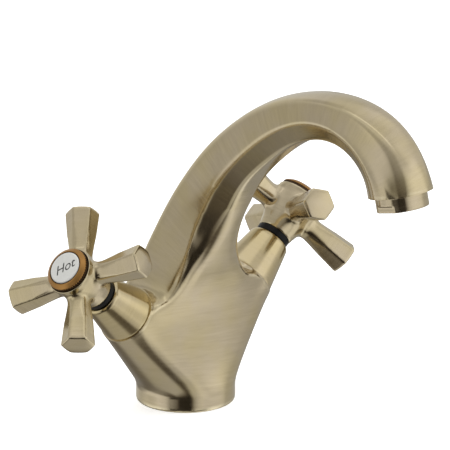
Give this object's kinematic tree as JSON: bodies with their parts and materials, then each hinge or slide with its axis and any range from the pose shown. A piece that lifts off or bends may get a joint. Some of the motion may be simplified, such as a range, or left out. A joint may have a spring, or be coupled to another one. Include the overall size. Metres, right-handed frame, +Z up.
{
  "type": "bathroom mixer faucet",
  "caption": "Deck-mounted basin mixer with a fixed arched spout, cross handles on slanted valve arms and a screw-in aerator.",
  "frame": {"origin": "centre of the base's underside, where it sits on the deck", "axes": "+Z up, -Y towards the outlet, +X towards the cold handle"},
  "size_m": [0.1886, 0.187, 0.1701],
  "materials": {
    "bronze": "brushed antique bronze, clear lacquered",
    "copper": "brushed copper, knurled",
    "white_plastic": "gloss",
    "black_plastic": "satin",
    "brass": "machined",
    "steel": "plain",
    "rubber": "matt",
    "ceramic": "lapped"
  },
  "bodies": {
    "mixer": {"mixer_body": "bronze", "base_gasket": "rubber", "hot_cone_skirt": "bronze", "hot_valve_bonnet": "brass", "hot_bonnet_washer": "rubber", "hot_seat_seal": "rubber", "hot_stator_disc": "ceramic", "cold_cone_skirt": "bronze", "cold_valve_bonnet": "brass", "cold_bonnet_washer": "rubber", "cold_seat_seal": "rubber", "cold_stator_disc": "ceramic", "aerator_housing": "bronze", "aerator_screen": "steel", "aerator_core": "white_plastic", "aerator_washer": "rubber"},
    "hot_handle_set": {"hot_handle": "bronze", "hot_glide_ring": "black_plastic", "hot_handle_screw": "steel", "hot_index_ring": "copper", "hot_index_disc": "white_plastic", "hot_spindle": "brass", "hot_spindle_orings": "rubber", "hot_spindle_clip": "steel", "hot_rotor_disc": "ceramic"},
    "cold_handle_set": {"cold_handle": "bronze", "cold_glide_ring": "black_plastic", "cold_handle_screw": "steel", "cold_index_ring": "copper", "cold_index_disc": "white_plastic", "cold_spindle": "brass", "cold_spindle_orings": "rubber", "cold_spindle_clip": "steel", "cold_rotor_disc": "ceramic"}
  },
  "joints": [
    {"name": "hot_handle_turn", "type": "hinge", "parent": "mixer", "child": "hot_handle_set", "pos_m": [-0.0394, 0, 0.0506], "axis": [-0.7771, 0, 0.6293], "range_deg": [0, 180]},
    {"name": "cold_handle_turn", "type": "hinge", "parent": "mixer", "child": "cold_handle_set", "pos_m": [0.0394, 0, 0.0506], "axis": [0.7771, 0, 0.6293], "range_deg": [0, 180]}
  ]
}
